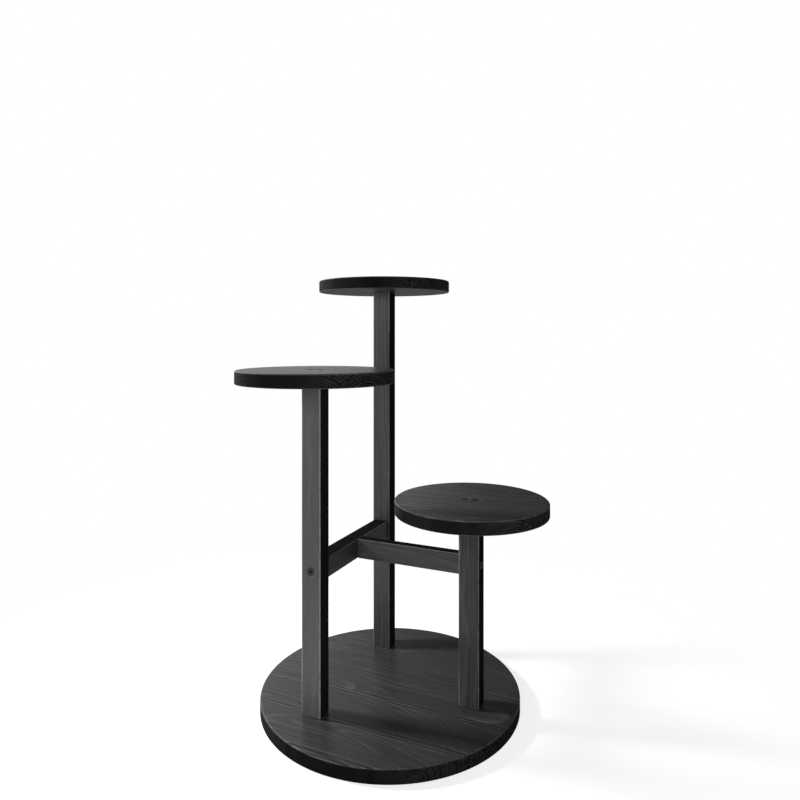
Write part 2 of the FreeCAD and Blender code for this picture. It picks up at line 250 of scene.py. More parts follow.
class Bench:
    """Puts nodes into one tree."""

    def __init__(self, tree):
        self.tree = tree

    def add(self, kind, settings=None, values=None):
        """Adds a node, makes its settings, then gives its sockets their values or links."""
        node = self.tree.nodes.new(kind)
        for key, value in (settings or {}).items():
            setattr(node, key, value)
        for key, value in (values or {}).items():
            socket = node.inputs[key]
            if isinstance(value, Wire):
                self.tree.links.new(value.socket, socket)
            else:
                socket.default_value = value
        return {socket.name: Wire(self, socket) for socket in node.outputs if socket.enabled}

    def sum(self, operation, *terms):
        """A Math node, or a Vector Math node where a term is a vector."""
        vector = any(isinstance(t, tuple) or (isinstance(t, Wire) and t.is_vector) for t in terms)
        if not vector:
            return self.add("ShaderNodeMath", {"operation": operation}, dict(enumerate(terms)))["Value"]
        terms = [(t, t, t) if isinstance(t, (int, float)) else t for t in terms]
        return self.add("ShaderNodeVectorMath", {"operation": operation}, dict(enumerate(terms)))["Vector"]

    def call(self, operation, *terms):
        """A function of numbers, such as SINE or MINIMUM."""
        return self.add("ShaderNodeMath", {"operation": operation}, dict(enumerate(terms)))["Value"]

    def ramp(self, value, low, high):
        """0 below low and 1 above high, with a smooth rise between them."""
        values = {"Value": value, "From Min": low, "From Max": high}
        return self.add("ShaderNodeMapRange", {"interpolation_type": "SMOOTHSTEP"}, values)["Result"]

    def band(self, value, low, high, soft):
        """1 between low and high, and 0 outside them."""
        return self.ramp(value, low - soft, low + soft) * (1.0 - self.ramp(value, high - soft, high + soft))

    def split(self, vector):
        """The three parts of a vector."""
        parts = self.add("ShaderNodeSeparateXYZ", values={"Vector": vector})
        return parts["X"], parts["Y"], parts["Z"]

    def join(self, x, y, z):
        """A vector from its three parts."""
        return self.add("ShaderNodeCombineXYZ", values={"X": x, "Y": y, "Z": z})["Vector"]

    def noise(self, place, detail=2.0, roughness=0.5):
        """Smooth noise from 0 to 1, with lumps about one unit wide."""
        values = {"Vector": place, "Scale": 1.0, "Detail": detail, "Roughness": roughness}
        return self.add("ShaderNodeTexNoise", values=values)["Fac"]

    def mix(self, factor, a, b):
        """From a to b as factor goes from 0 to 1."""
        return self.add("ShaderNodeMix", values={"Factor": factor, "A": a, "B": b})["Result"]

    def shade(self, colour, tone):
        """The colour times a tone, which leaves it as it is at 1."""
        values = {0: tuple(colour), "Scale": tone}
        return self.add("ShaderNodeVectorMath", {"operation": "SCALE"}, values)["Vector"]

    def relief(self, height):
        """A bump from a height in millimetres."""
        values = {"Strength": 1.0, "Distance": MM, "Height": height}
        return self.add("ShaderNodeBump", values=values)["Normal"]


# ---------------------------------------------------------------- geometry trees


def new_tree(title, needs):
    """A geometry tree with one input for each need."""
    tree = bpy.data.node_groups.new(title, "GeometryNodeTree")
    tree.interface.new_socket("Screws", in_out="INPUT", socket_type="NodeSocketGeometry")
    for need, kind in needs.items():
        tree.interface.new_socket(need, in_out="INPUT", socket_type="NodeSocket" + kind)
    tree.interface.new_socket("Piece", in_out="OUTPUT", socket_type="NodeSocketGeometry")
    bench = Bench(tree)
    return bench, bench.add("NodeGroupInput")


def turned(bench, count, height, radius, sides):
    """A closed round solid about Z, from height and radius at each of count stations."""
    line = bench.add("GeometryNodeCurvePrimitiveLine", values={"End": (0.0, 0.0, 1.0)})["Curve"]
    line = bench.add("GeometryNodeResampleCurve", values={"Curve": line, "Count": count})["Curve"]
    values = {"Geometry": line, "Position": bench.join(0.0, 0.0, height)}
    line = bench.add("GeometryNodeSetPosition", values=values)["Geometry"]
    ring = bench.add("GeometryNodeCurvePrimitiveCircle", values={"Resolution": sides, "Radius": 1.0})["Curve"]
    values = {"Curve": line, "Profile Curve": ring, "Scale": radius, "Fill Caps": True}
    return bench.add("GeometryNodeCurveToMesh", values=values)["Mesh"]


def pick(bench, index, choices):
    """The choice that has this index."""
    node = bench.tree.nodes.new("GeometryNodeIndexSwitch")
    node.data_type = "FLOAT"
    while len(node.index_switch_items) < len(choices):
        node.index_switch_items.new()
    bench.tree.links.new(index.socket, node.inputs["Index"])
    for slot, choice in enumerate(choices):
        socket = node.inputs[slot + 1]
        if isinstance(choice, Wire):
            bench.tree.links.new(choice.socket, socket)
        else:
            socket.default_value = choice
    return Wire(bench, node.outputs[0])


def turned_by_list(bench, stations, sides):
    """A closed round solid about Z, from a list of (height, radius)."""
    index = bench.add("GeometryNodeInputIndex")["Index"]
    height = pick(bench, index, [s[0] for s in stations])
    radius = pick(bench, index, [s[1] for s in stations])
    return turned(bench, len(stations), height, radius, sides)


def stand_at_screws(bench, points, thing):
    """A copy of thing at each point, with its Z turned the way that the screw is driven."""
    way = bench.add("GeometryNodeInputNamedAttribute", {"data_type": "FLOAT_VECTOR"}, {"Name": "way"})
    turn = bench.add("FunctionNodeAlignRotationToVector", {"axis": "Z"}, {"Vector": way["Attribute"]})
    values = {"Points": points, "Instance": thing, "Rotation": turn["Rotation"]}
    copies = bench.add("GeometryNodeInstanceOnPoints", values=values)["Instances"]
    return bench.add("GeometryNodeRealizeInstances", values={"Geometry": copies})["Geometry"]


def finish_tree(bench, needs, solid):
    """Smooth faces, real geometry and the finish."""
    values = {"Geometry": solid, "Shade Smooth": True}
    solid = bench.add("GeometryNodeSetShadeSmooth", values=values)["Geometry"]
    solid = bench.add("GeometryNodeRealizeInstances", values={"Geometry": solid})["Geometry"]
    values = {"Geometry": solid, "Material": needs["Finish"]}
    solid = bench.add("GeometryNodeSetMaterial", values=values)["Geometry"]
    bench.add("NodeGroupOutput", values={"Piece": solid})
    return bench.tree


HOLE_NEEDS = {"Countersink": "Float", "Hole": "Float", "Recess": "Float", "Hole Depth": "Float"}
HOLE_SIDES = 48
SCREW_SIDES = 48
HEXAGON = 6
DRILL_POINT = math.radians(118.0)
# How far the cutter of a hole stands out of the wood, and the radius that stands for its sharp point.
CUTTER_STANDS_OUT = 2.0 * MM
SHARP = 0.01 * MM


def cut_away(bench, solid, cutter):
    """The solid without what lies inside the cutter."""
    settings = {"operation": "DIFFERENCE", "solver": "EXACT"}
    return bench.add("GeometryNodeMeshBoolean", settings, {"Mesh 1": solid, "Mesh 2": cutter})["Mesh"]


def drilled(bench, needs, solid):
    """Takes every screw's countersink and hole out of the wood."""
    sink, hole, recess, depth = (needs[n] for n in HOLE_NEEDS)
    cone = (sink - hole) / 2.0
    point = hole * (0.5 / math.tan(DRILL_POINT / 2))
    stations = [
        (-recess - CUTTER_STANDS_OUT, sink / 2.0),
        (-recess, sink / 2.0),
        (cone - recess, hole / 2.0),
        (depth, hole / 2.0),
        (depth + point, SHARP),
    ]
    cutter = turned_by_list(bench, stations, HOLE_SIDES)
    return cut_away(bench, solid, stand_at_screws(bench, needs["Screws"], cutter))


def keep_edge(bench, solid, edge):
    """Keeps how near each point is to the middle of a rounded edge, for the finish to read."""
    settings = {"data_type": "FLOAT", "domain": "POINT"}
    values = {"Geometry": solid, "Name": "edge", "Value": edge}
    return bench.add("GeometryNodeStoreNamedAttribute", settings, values)["Geometry"]


ARC_STEPS = 6
BAR_ARC_STEPS = 4
# The flats begin this far inside the roundings, so that their smooth shading stays in a narrow strip.
FLAT_MARGIN = 0.4 * MM
# The band of a board's rim whose rounded edges are rubbed and carry a painted highlight, and that wanders:
# where it begins and is whole, from the edge.
RIM_BEGINS = 20.0 * MM
RIM_WHOLE = 4.0 * MM
# Waves of a sanded rim in a metre, and how far apart the patterns of two boards are.
RIM_WAVES = 28.0
BOARDS_APART = 31.0


def round_board_tree():
    """A round board with rounded edges and its screw holes."""
    needs = {
        "Place": "Vector", "Radius": "Float", "Thickness": "Float", "Top Round": "Float",
        "Underside Round": "Float", "Rim Steps": "Int", "Sanding": "Float", **HOLE_NEEDS,
        "Finish": "Material",
    }
    bench, need = new_tree("round board", needs)
    radius, thickness = need["Radius"], need["Thickness"]

    # The stations run up the outside: a flat's margin, the lower rounding, the upper one, a margin.
    index = bench.add("GeometryNodeInputIndex")["Index"]
    half = ARC_STEPS + 2
    last = 2 * half - 1
    upper = bench.call("GREATER_THAN", index, half - 0.5)
    step = bench.call("MINIMUM", bench.call("MAXIMUM", index - 1.0, 0.0), float(ARC_STEPS))
    step_up = bench.call("MINIMUM", index - float(half), float(ARC_STEPS))
    turn = bench.mix(upper, step, step_up) * (math.pi / 2 / ARC_STEPS)
    bend = bench.mix(upper, need["Underside Round"], need["Top Round"])
    sine = bench.call("SINE", turn)
    cosine = bench.call("COSINE", turn)
    margin = bench.call("LESS_THAN", index, 0.5) + bench.call("GREATER_THAN", index, last - 0.5)
    height = bench.mix(upper, bend * (1.0 - cosine), thickness - bend * (1.0 - sine))
    reach = radius - bend * (1.0 - bench.mix(upper, sine, cosine)) - margin * FLAT_MARGIN
    solid = turned(bench, last + 1, height, reach, need["Rim Steps"])

    # How near the middle of a rounding each point is.
    place = bench.add("GeometryNodeInputPosition")["Position"]
    x, y, z = bench.split(place)
    out = bench.call("SQRT", x * x + y * y)
    low = bench.call("MINIMUM", z / need["Underside Round"], 1.0)
    high = bench.call("MINIMUM", (thickness - z) / need["Top Round"], 1.0)
    rise = bench.call("MINIMUM", low, high)
    rim = bench.ramp(out, radius - RIM_BEGINS, radius - RIM_WHOLE)
    solid = keep_edge(bench, solid, rim * (rise * (1.0 - rise) * 4.0))

    # The sanded rim wanders a little from a true circle.
    wander = bench.noise(place * RIM_WAVES + need["Place"] * BOARDS_APART, 2.0) - 0.5
    push = bench.join(x, y, 0.0) * (wander * rim * need["Sanding"] * 2.0 / out)
    values = {"Geometry": solid, "Offset": push + need["Place"]}
    solid = bench.add("GeometryNodeSetPosition", values=values)["Geometry"]
    return finish_tree(bench, need, drilled(bench, need, solid))


def squared_bar_tree():
    """A squared bar with rounded edges and its screw holes."""
    needs = {"Place": "Vector", "Size": "Vector", "Edge Round": "Float", **HOLE_NEEDS, "Finish": "Material"}
    bench, need = new_tree("squared bar", needs)
    none = (0.0, 0.0, 0.0)
    whole = (1.0, 1.0, 1.0)

    # On each axis the cube's outer vertices go round an edge and the inner ones keep to the flats.
    steps = float(BAR_ARC_STEPS)
    count = 2 * BAR_ARC_STEPS + 4
    values = {"Size": whole, "Vertices X": count, "Vertices Y": count, "Vertices Z": count}
    cube = bench.add("GeometryNodeMeshCube", values=values)["Mesh"]
    place = bench.add("GeometryNodeInputPosition")["Position"]
    side = bench.sum("SIGN", place)
    from_end = (0.5 - abs(place)) * float(count - 1)
    near = bench.sum("MAXIMUM", (steps - from_end) / steps, none)
    lean = bench.sum("TANGENT", near * (math.pi / 4))
    inner = need["Size"] * 0.5 - need["Edge Round"]
    pulled = bench.sum("MINIMUM", bench.sum("MAXIMUM", from_end - steps, none), whole)
    middle = bench.sum("MINIMUM", inner - pulled * FLAT_MARGIN, inner)
    round_off = bench.sum("NORMALIZE", lean) * need["Edge Round"]
    spot = side * (middle + round_off) + need["Place"]

    # How near the middle of an edge's rounding each point is.
    nx, ny, nz = bench.split(near)
    most = bench.call("MAXIMUM", bench.call("MAXIMUM", nx, ny), nz)
    solid = keep_edge(bench, cube, bench.call("MINIMUM", nx + ny + nz - most, 1.0))
    solid = bench.add("GeometryNodeSetPosition", values={"Geometry": solid, "Position": spot})["Geometry"]
    return finish_tree(bench, need, drilled(bench, need, solid))


# The soft corner of a head's rim and the radius of a screw's blunt point.
SOFT_CORNER = 0.15 * MM
BLUNT = 0.15 * MM
# The hexagon socket ends in a shallow drilled cone: its depth and the radius at its point.
SOCKET_CONE = 0.6 * MM
SOCKET_POINT = 0.05 * MM
THREAD_STEPS = 32
RIDGE_SIDES = 4


def screw_tree():
    """Countersunk screws with a hexagon socket, one at each point."""
    needs = {
        "Length": "Float", "Thread": "Float", "Core": "Float", "Neck": "Float", "Tip": "Float",
        "Pitch": "Float", "Head": "Float", "Land": "Float", "Key": "Float", "Key Depth": "Float",
        "Finish": "Material",
    }
    bench, need = new_tree("countersunk screw", needs)
    head, core, land, length, tip = (need[n] for n in ("Head", "Core", "Land", "Length", "Tip"))
    under_head = land + (head - core) / 2.0
    stations = [
        (0.0, head / 2.0 - SOFT_CORNER),
        (SOFT_CORNER, head / 2.0),
        (land, head / 2.0),
        (under_head, core / 2.0),
        (length - tip, core / 2.0),
        (length, BLUNT),
    ]
    body = turned_by_list(bench, stations, SCREW_SIDES)
    key_radius = need["Key"] / math.sqrt(3.0)
    socket_stations = [
        (-MM, key_radius),
        (need["Key Depth"], key_radius),
        (need["Key Depth"] + SOCKET_CONE, SOCKET_POINT),
    ]
    body = cut_away(bench, body, turned_by_list(bench, socket_stations, HEXAGON))

    # The thread is a ridge along a helix.
    cut = length - tip - need["Neck"]
    values = {"Resolution": THREAD_STEPS, "Rotations": cut / need["Pitch"], "Start Radius": core / 2.0,
              "End Radius": core / 2.0, "Height": cut}
    helix = bench.add("GeometryNodeCurveSpiral", values=values)["Curve"]
    values = {"Geometry": helix, "Offset": bench.join(0.0, 0.0, need["Neck"])}
    helix = bench.add("GeometryNodeSetPosition", values=values)["Geometry"]
    helix = bench.add("GeometryNodeSetCurveNormal", {"mode": "Z_UP"}, {"Curve": helix})["Curve"]
    values = {"Resolution": RIDGE_SIDES, "Radius": (need["Thread"] - core) / 2.0}
    ridge = bench.add("GeometryNodeCurvePrimitiveCircle", values=values)["Curve"]
    values = {"Curve": helix, "Profile Curve": ridge, "Fill Caps": True}
    thread = bench.add("GeometryNodeCurveToMesh", values=values)["Mesh"]
    joined = bench.tree.nodes.new("GeometryNodeJoinGeometry")
    bench.tree.links.new(body.socket, joined.inputs[0])
    bench.tree.links.new(thread.socket, joined.inputs[0])
    screws = stand_at_screws(bench, need["Screws"], Wire(bench, joined.outputs[0]))
    return finish_tree(bench, need, screws)


# ---------------------------------------------------------------- finishes


def new_finish(name):
    """A material with only its output node."""
    finish = bpy.data.materials.new(name)
    finish.use_nodes = True
    finish.node_tree.nodes.clear()
    return finish, Bench(finish.node_tree)


class Wood(NamedTuple):
    """How a piece of pine was cut, for its finish.

    grain is the axis along the fibres, and planed is the axis that the smooth wide faces look along: the
    narrow sawn faces take more stain and are more matt. heart is where the middle of the tree lies
    across the grain, in millimetres, and lean is how fast it moves sideways along the grain. In a board
    of staves, heart is only a rough depth, because every stave has its own, and bow is how much the
    lines of all but the middle stave curve. The tint is how pale this piece comes out: partly its own
    tone and partly painted light, paler on the front post, and darker as painted shade on the side post,
    the base and the short stretcher. figure is how strongly its grain shows.
    """

    title: str
    grain: str
    planed: str
    heart: tuple
    seed: float
    lean: tuple = (0.0, 0.0)
    tint_and_painted_light: float = 1.0
    figure: float = 1.0
    staves: bool = False
    bow: float = 0.0


# The tints are partly each piece's own tone and partly painted light: the front post is made paler as painted
# light, and the side post, the base and the short stretcher darker as painted shade.
WOODS = {
    "base_board": Wood("base", "X", "Z", (0, -34), 3.0, tint_and_painted_light=0.9, figure=1.35, staves=True, bow=0.0017),
    "middle_tray": Wood("middle tray", "X", "Z", (0, 400), 11.0, tint_and_painted_light=1.15, figure=1.3, staves=True),
    "top_tray": Wood("top tray", "X", "Z", (0, 530), 23.0, figure=1.3, staves=True),
    "low_tray": Wood("low tray", "X", "Z", (0, 245), 31.0, tint_and_painted_light=1.3, figure=1.1, staves=True),
    "front_post": Wood("front post", "Z", "Y", (-70, -190), 5.0, (0.004, 0.0), tint_and_painted_light=1.85, figure=0.4),
    "rear_post": Wood("rear post", "Z", "Y", (-20, 60), 7.0, (0.01, 0.0), tint_and_painted_light=0.96),
    "side_post": Wood("side post", "Z", "Y", (112, -60), 9.0, (0.03, 0.0), tint_and_painted_light=0.80),
    "long_stretcher": Wood("long stretcher", "Y", "X", (-120, 160), 13.0, (0.0, 0.01)),
    "short_stretcher": Wood("short stretcher", "X", "Y", (40, 190), 17.0, (0.0, 0.01), tint_and_painted_light=0.9),
}

# Where one of the joints between staves lies across the grain, in millimetres.
A_JOINT = -34.0

# How far the luck of a stave moves its wood along the grain, sideways and in depth, in millimetres, how
# far it turns its grain sideways and in depth, and how far it changes its tint.
LUCK_MOVES = (700.0, 40.0, 14.0)
LUCK_TURNS = (0.05, 0.16)
LUCK_TINT = 0.12

# The lines of the outer staves bow about this place along the grain, in millimetres, and those of the
# middle stave run this much aslant.
BOW_MIDDLE = -20.0
MIDDLE_SLANT = 0.12

# Lumps of noise in the wood: their length along the grain and their width across it, in millimetres.
DRIFT = (170.0, 80.0)
DRIFT_DEEP = (150.0, 80.0)
RIPPLE = (38.0, 18.0)
WORN = (60.0, 14.0)
STREAK = (130.0, 3.0)
FIBRE = (16.0, 0.55)
PATCH = (120.0, 30.0)
BLOT = (9.0, 4.6)
JOINT_SHOW = 45.0
RUBBED_AND_HIGHLIT_SHOW = 9.0

# How far the heart of the tree drifts and ripples, in millimetres.
DRIFT_REACH = 16.0
RIPPLE_REACH = 1.6

# Rings swell and shrink in lumps this long from the heart, in millimetres, by this many years.
SWELL = 11.0
SWELL_YEARS = 1.8
# Steps in the noise from one year's vigour to the next, from one stave's joint to the next, and from
# the heart's drift sideways to its drift in depth.
YEAR_STEP = 3.7
STAVE_STEP = 7.0
DEEP_STEP = 40.0

# Where in the year late wood rises and ends and where the furrow after it fades, where noise lets a
# year show, wears it off and lets it show on end grain, and where streaks and blots show.
LATE_RISES = (0.46, 0.82)
LATE_ENDS = (0.88, 0.99)
FURROW_FADES = (0.04, 0.26)
YEAR_SHOWS = (0.28, 0.62)
WEAR_SPARES = (0.32, 0.58)
END_RING_SHOWS = (0.20, 0.45)
PALE_STREAK_SHOWS = (0.53, 0.70)
DARK_STREAK_SHOWS = (0.31, 0.47)
BLOT_SHOWS = (0.46, 0.62)

# How squarely a face looks along the grain to be end grain, and along the planed axis to be planed, and
# where a rounded edge is rubbed and carries a painted highlight.
END_FACE = (0.25, 0.80)
PLANED_FACE = (0.30, 0.75)
RUBBED_AND_HIGHLIT_EDGE = (0.1, 0.8)

# Distances from a glue joint, in millimetres: where its dark line fades, and where its shoulder, which
# carries a painted highlight, and the dark year and second shoulder beside it begin and end, and how
# soft their edges are.
JOINT_LINE = (0.6, 1.6)
JOINT_SHOULDER = (2.0, 4.2, 0.7)
BESIDE_LINE = (5.4, 7.0, 0.6)
BESIDE_SHOULDER = (7.8, 10.0, 0.8)
JOINT_DARK = 0.60
SHOULDER_HIGHLIGHT = 0.50

# How dark a sawn face is beside a planed one, and how pale a rounded edge is beside its face, which is
# partly rubbed wear and partly a painted highlight.
BOARD_SAWN_DARK = 0.80
BAR_SAWN_DARK = 0.86
BOARD_WEAR_AND_HIGHLIGHT = 1.0
BAR_WEAR_AND_HIGHLIGHT = 2.4

# How much each mark of the grain changes the tone of a planed face.
PLANED_LATE = 0.50
PLANED_FURROW = 0.20
PLANED_PALE = 0.22
PLANED_DARK = 0.20
PLANED_FIBRE = 0.14
PLANED_PATCH = 0.35
# The same for a sawn face, and for end grain, which is paler as a whole.
SAWN_FIBRE = 0.4
SAWN_BLOT = 0.12
SAWN_LATE = 0.20
END_PALE = 2.2
END_BLOT = 0.40
END_RING = 0.85

# Relief of each mark, in millimetres.
LATE_RISE = 0.06
FURROW_DROP = 0.03
STREAK_RISE = 0.03
FIBRE_RISE = 0.04
BLOT_DROP = 0.06
JOINT_DROP = 0.15
SHOULDER_RISE = 0.03

# Roughness: between the marks, what the marks, the fibres and the rubbing change, and what a sawn face
# adds. A sawn face shows only this much gloss.
PLAIN_ROUGH = 0.05
MARK_ROUGH = 0.05
FIBRE_ROUGH = 0.12
RUBBED_ROUGH = 0.10
SAWN_ROUGH = 0.48
SAWN_GLOSS = 0.04


def grained(bench, spot, lump, seed=0.0, detail=2.0, roughness=0.5):
    """Noise from 0 to 1 at a spot given along, across and in depth, in lumps stretched along the grain."""
    along, across, depth = spot
    length, width = lump
    return bench.noise(bench.join(along / length + seed, across / width, depth / width), detail, roughness)


def year_rings(bench, wood, spot, side, deep, turns):
    """Late wood and furrow of each year's ring, then its late wood before wear, and its own vigour.

    side and deep are the distances from the heart, which drifts along the grain, and turns is how fast
    the grain leaves them.
    """
    ring_width = bpy.context.scene.stand_finish.ring
    along = spot[0]
    seed = wood.seed
    drift = grained(bench, spot, DRIFT, seed, 1.0) - 0.5
    drift_deep = grained(bench, spot, DRIFT_DEEP, seed + DEEP_STEP, 1.0) - 0.5
    ripple = grained(bench, spot, RIPPLE, seed, 1.0) - 0.5
    side = side + along * turns[0] + drift * DRIFT_REACH + ripple * RIPPLE_REACH
    deep = deep + along * turns[1] + drift_deep * DRIFT_REACH
    radius = bench.call("SQRT", side * side + deep * deep)
    swell = bench.noise(bench.join(radius / SWELL + seed, 0.0, 0.0), 1.0)
    year = radius / ring_width + swell * SWELL_YEARS
    season = bench.call("FRACT", year)
    vigour = bench.noise(bench.join(bench.call("FLOOR", year) * YEAR_STEP + seed, 0.0, 0.0), 0.0)
    worn = grained(bench, spot, WORN, seed)
    clear = bench.ramp(vigour, *YEAR_SHOWS) * bench.ramp(worn, *WEAR_SPARES)
    ring = bench.ramp(season, *LATE_RISES) * (1.0 - bench.ramp(season, *LATE_ENDS))
    furrow = (1.0 - bench.ramp(season, *FURROW_FADES)) * clear
    return ring * clear, furrow, ring, vigour


def glue_joints(bench, wood, along, number, inside, to_joint, stave, sawn):
    """The dark line of each glue joint, with a darker year beside it, and the shoulders of both, paler as a
    painted highlight.
    """
    show = bench.noise(bench.join(along / JOINT_SHOW, number * STAVE_STEP + wood.seed, 0.0), 1.0)
    seen = (0.45 + bench.ramp(show, 0.35, 0.60) * 0.55) * (1.0 - sawn * 0.6)
    before = (1.0 - inside) * stave
    line = (1.0 - bench.ramp(to_joint, *JOINT_LINE)) * seen
    line = line + bench.band(before, *BESIDE_LINE) * seen * seen
    shoulder = bench.band(to_joint, *JOINT_SHOULDER) * seen
    shoulder = shoulder + bench.band(before, *BESIDE_SHOULDER) * seen * seen
    return line, shoulder


def pine(wood):
    """Black-stained pine, cut as wood says."""
    look = bpy.context.scene.stand_finish
    finish, bench = new_finish("stained pine of the " + wood.title)
    seed = wood.seed
    place = bench.add("ShaderNodeTexCoord")["Object"] * (1.0 / MM)
    x, y, z = bench.split(place)
    along, across, depth = {"X": (x, y, z), "Y": (y, x, z), "Z": (z, x, y)}[wood.grain]
    side = across - wood.heart[0]
    deep = depth - wood.heart[1]
    turns = wood.lean
    # The piece's tint, partly its own tone and partly painted light and shade.
    tint_and_painted_light = wood.tint_and_painted_light
    if wood.staves:
        stave = look.stave / MM
        count = (across - A_JOINT) / stave
        number = bench.call("FLOOR", count)
        inside = count - number
        random = bench.add("ShaderNodeTexWhiteNoise", {"noise_dimensions": "1D"}, {"W": number + seed})
        luck = bench.split(random["Color"])
        to_joint = (0.5 - abs(inside - 0.5)) * stave
        outer = bench.call("MINIMUM", abs(number), 1.0)
        from_bow = along - BOW_MIDDLE
        bend = from_bow * from_bow * outer * wood.bow - (1.0 - outer) * along * MIDDLE_SLANT
        along = along + luck[2] * LUCK_MOVES[0]
        side = (inside - 0.5) * stave + (luck[0] - 0.5) * LUCK_MOVES[1] + bend
        deep = deep - luck[1] * LUCK_MOVES[2]
        turns = ((luck[2] - 0.5) * LUCK_TURNS[0], (luck[0] - 0.5) * LUCK_TURNS[1])
        tint_and_painted_light = (1.0 + (luck[1] - 0.5) * LUCK_TINT) * tint_and_painted_light
    spot = (along, across, depth)
    late, furrow, ring, vigour = year_rings(bench, wood, spot, side, deep, turns)

    # Streaks, fibres and cloudy patches.
    streak = grained(bench, spot, STREAK, seed)
    pale_streak = bench.ramp(streak, *PALE_STREAK_SHOWS)
    dark_streak = 1.0 - bench.ramp(streak, *DARK_STREAK_SHOWS)
    fibre = grained(bench, spot, FIBRE) - 0.5
    patch = grained(bench, spot, PATCH, seed) - 0.5
    blot = bench.ramp(grained(bench, spot, BLOT, detail=3.0, roughness=0.6), *BLOT_SHOWS)

    # Which faces are planed, sawn, or cut across the grain, and where edges are rubbed and get a painted
    # highlight.
    nx, ny, nz = bench.split(bench.add("ShaderNodeTexCoord")["Normal"])
    facing = {"X": abs(nx), "Y": abs(ny), "Z": abs(nz)}
    end = bench.ramp(facing[wood.grain], *END_FACE)
    sawn = 1.0 - bench.ramp(facing[wood.planed], *PLANED_FACE)
    edge = bench.add("ShaderNodeAttribute", {"attribute_name": "edge"})["Fac"]
    rubbed_and_highlit = 0.4 + 0.6 * bench.ramp(bench.noise(place / RUBBED_AND_HIGHLIT_SHOW + seed, 3.0), 0.25, 0.55)
    rubbed_and_highlit = bench.ramp(edge, *RUBBED_AND_HIGHLIT_EDGE) * rubbed_and_highlit

    # How pale each kind of face is, beside the plain stain.
    lines = late * PLANED_LATE - furrow * PLANED_FURROW
    lines = lines + pale_streak * PLANED_PALE - dark_streak * PLANED_DARK
    planed_tone = 1.0 + (lines + fibre * PLANED_FIBRE + patch * PLANED_PATCH) * wood.figure
    sawn_dark = BOARD_SAWN_DARK if wood.staves else BAR_SAWN_DARK
    sawn_tone = (1.0 - sawn_dark) * (1.0 + fibre * SAWN_FIBRE * (1.0 - end) + end * END_PALE)
    sawn_tone = sawn_tone * (1.0 - blot * (SAWN_BLOT + end * END_BLOT))
    sawn_tone = sawn_tone * (1.0 - late * (1.0 - end) * SAWN_LATE)
    sawn_tone = sawn_tone * (1.0 - ring * bench.ramp(vigour, *END_RING_SHOWS) * end * END_RING)
    tone = bench.mix(sawn, planed_tone, sawn_tone) * tint_and_painted_light

    # The relief of the grain, in millimetres.
    height = late * LATE_RISE - furrow * FURROW_DROP + (pale_streak - dark_streak) * STREAK_RISE
    height = height + fibre * FIBRE_RISE - blot * sawn * BLOT_DROP
    if wood.staves:
        line, shoulder = glue_joints(bench, wood, along, number, inside, to_joint, stave, sawn)
        # The shoulders beside a joint are made paler: a painted highlight along the groove's edges.
        tone = tone * (1.0 - line * JOINT_DARK) * (1.0 + shoulder * SHOULDER_HIGHLIGHT)
        height = height - line * JOINT_DROP + shoulder * SHOULDER_RISE
    # Rounded edges are made paler: partly rubbed wear, partly a painted highlight in place of the lamps'
    # sheen.
    tone = tone * (1.0 + rubbed_and_highlit * (BOARD_WEAR_AND_HIGHLIGHT if wood.staves else BAR_WEAR_AND_HIGHLIGHT))
    marks = late + pale_streak - dark_streak
    rough = look.gloss + PLAIN_ROUGH - marks * MARK_ROUGH + fibre * FIBRE_ROUGH - rubbed_and_highlit * RUBBED_ROUGH

    # Planed faces are satin, and sawn ones matt.
    stain = bench.shade(look.stain, tone)
    bump = bench.relief(height)
    satin = bench.add("ShaderNodeBsdfPrincipled",
                      values={"Base Color": stain, "Roughness": rough, "Normal": bump})["BSDF"]
    matt = bench.add("ShaderNodeBsdfPrincipled",
                     values={"Base Color": stain, "Roughness": rough + SAWN_ROUGH,
                             "Specular IOR Level": SAWN_GLOSS, "Normal": bump})["BSDF"]
    surface = bench.add("ShaderNodeMixShader", values={0: sawn, 1: satin, 2: matt})["Shader"]
    bench.add("ShaderNodeOutputMaterial", values={"Surface": surface})
    return finish


# Lumps of the grit and of the cloudy patches on the screws, in millimetres.
STEEL_GRIT = 0.6
STEEL_CLOUD = 3.0


def blackened_steel():
    """Black finish of the screws, with worn brighter specks."""
    look = bpy.context.scene.stand_finish
    finish, bench = new_finish("blackened steel")
    place = bench.add("ShaderNodeTexCoord")["Object"] * (1.0 / MM)
    grit = bench.noise(place / STEEL_GRIT, 3.0, 0.6)
    cloud = bench.noise(place / STEEL_CLOUD, 2.0)
    values = {
        "Base Color": bench.shade(look.steel, 0.8 + cloud * 0.4 + grit * 0.25),
        "Roughness": 0.34 + (grit - 0.5) * 0.2,
        "Metallic": 0.5,
        "Normal": bench.relief(grit * 0.02),
    }
    steel = bench.add("ShaderNodeBsdfPrincipled", values=values)["BSDF"]
    bench.add("ShaderNodeOutputMaterial", values={"Surface": steel})
    return finish


# ---------------------------------------------------------------- pieces


# Edges that turn less than this many degrees are shaded smooth.
WOOD_SMOOTH_BELOW = 30.0
STEEL_SMOOTH_BELOW = 25.0
# A board's radius is read from its box to this many digits of a metre.
BOX_DIGITS = 4


def screw_heads(node):
    """Where the tops of this group's screw heads are, from the box of the group."""
    low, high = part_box(node)
    way = Vector(SCREW_WAYS[node])
    middle = (low + high) / 2
    for axis in range(3):
        if way[axis]:
            middle[axis] = low[axis] if way[axis] > 0 else high[axis]
    screw = bpy.context.scene.stand_screws.head
    if way.x or high.x - low.x < 1.5 * screw:
        return [middle]
    return [Vector((x, middle.y, middle.z)) for x in (low.x + screw / 2, high.x - screw / 2)]


